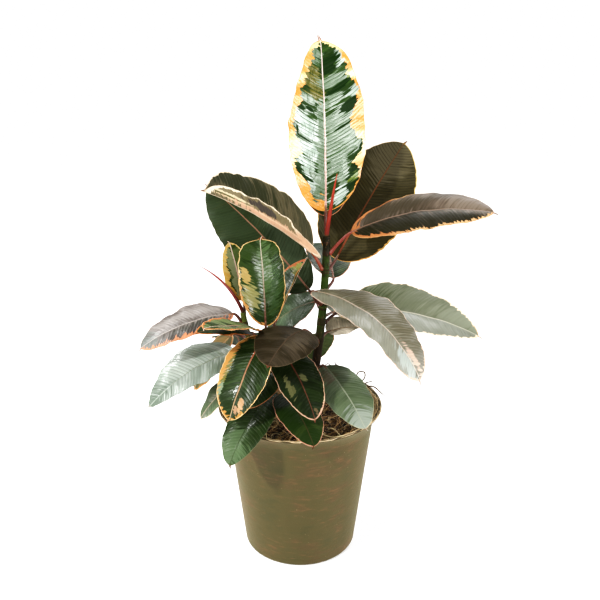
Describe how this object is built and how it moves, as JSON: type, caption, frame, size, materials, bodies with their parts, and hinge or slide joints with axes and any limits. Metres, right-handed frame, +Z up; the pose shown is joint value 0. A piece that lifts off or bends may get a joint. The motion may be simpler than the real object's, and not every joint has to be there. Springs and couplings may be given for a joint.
{
  "type": "potted tricolor rubber plant",
  "caption": "Potted tricolor rubber plant: broad leathery variegated leaves spiral up slender stems with red bud sheaths, in a plain flared olive-brown pot topped with coconut fibre.",
  "frame": {"origin": "centre of the pot's flat underside, on the pot's turning axis", "axes": "+Z up, along the plant's height; -Y towards the viewer of the plant's front; +X to the right as seen from the front"},
  "size_m": [0.5155, 0.3875, 0.7875],
  "materials": {
    "pot": "matt olive-brown with soft rust patches",
    "fibre": "rough brown coconut fibre over potting mix",
    "bark": "smooth green to purple-brown stem with leaf scars",
    "sheath": "satin red bud sheath",
    "leaf": "glossy leathery leaf with cream, orange and pink margins"
  },
  "bodies": {
    "root": {"pot": "pot", "fill": "fibre", "main_stem": "bark", "front_shoot_stem": "bark", "left_shoot_stem": "bark", "main_bud_sheath": "sheath", "left_bud_sheath": "sheath", "leaf_top": "leaf", "leaf_back_right_high": "leaf", "leaf_right_high": "leaf", "leaf_left_high": "leaf", "leaf_back_left_high": "leaf", "leaf_front_right": "leaf", "leaf_right_middle": "leaf", "leaf_back_middle": "leaf", "leaf_front_middle": "leaf", "leaf_back_right_low": "leaf", "leaf_back_low": "leaf", "leaf_back_left_middle": "leaf", "leaf_back_high": "leaf", "leaf_back_right_middle": "leaf", "leaf_back_left_low": "leaf", "leaf_front_right_low": "leaf", "shoot_leaf_upright": "leaf", "shoot_leaf_right": "leaf", "shoot_leaf_left": "leaf", "shoot_leaf_left_under": "leaf", "shoot_leaf_front": "leaf", "shoot_leaf_front_under": "leaf", "shoot_leaf_front_low": "leaf", "shoot_leaf_front_right": "leaf", "shoot_leaf_front_lowest": "leaf", "left_leaf_upright": "leaf", "left_leaf_long": "leaf", "left_leaf_low": "leaf", "left_leaf_back_low": "leaf", "left_leaf_lowest": "leaf", "left_leaf_back": "leaf", "left_leaf_back_lowest": "leaf"}
  },
  "joints": []
}
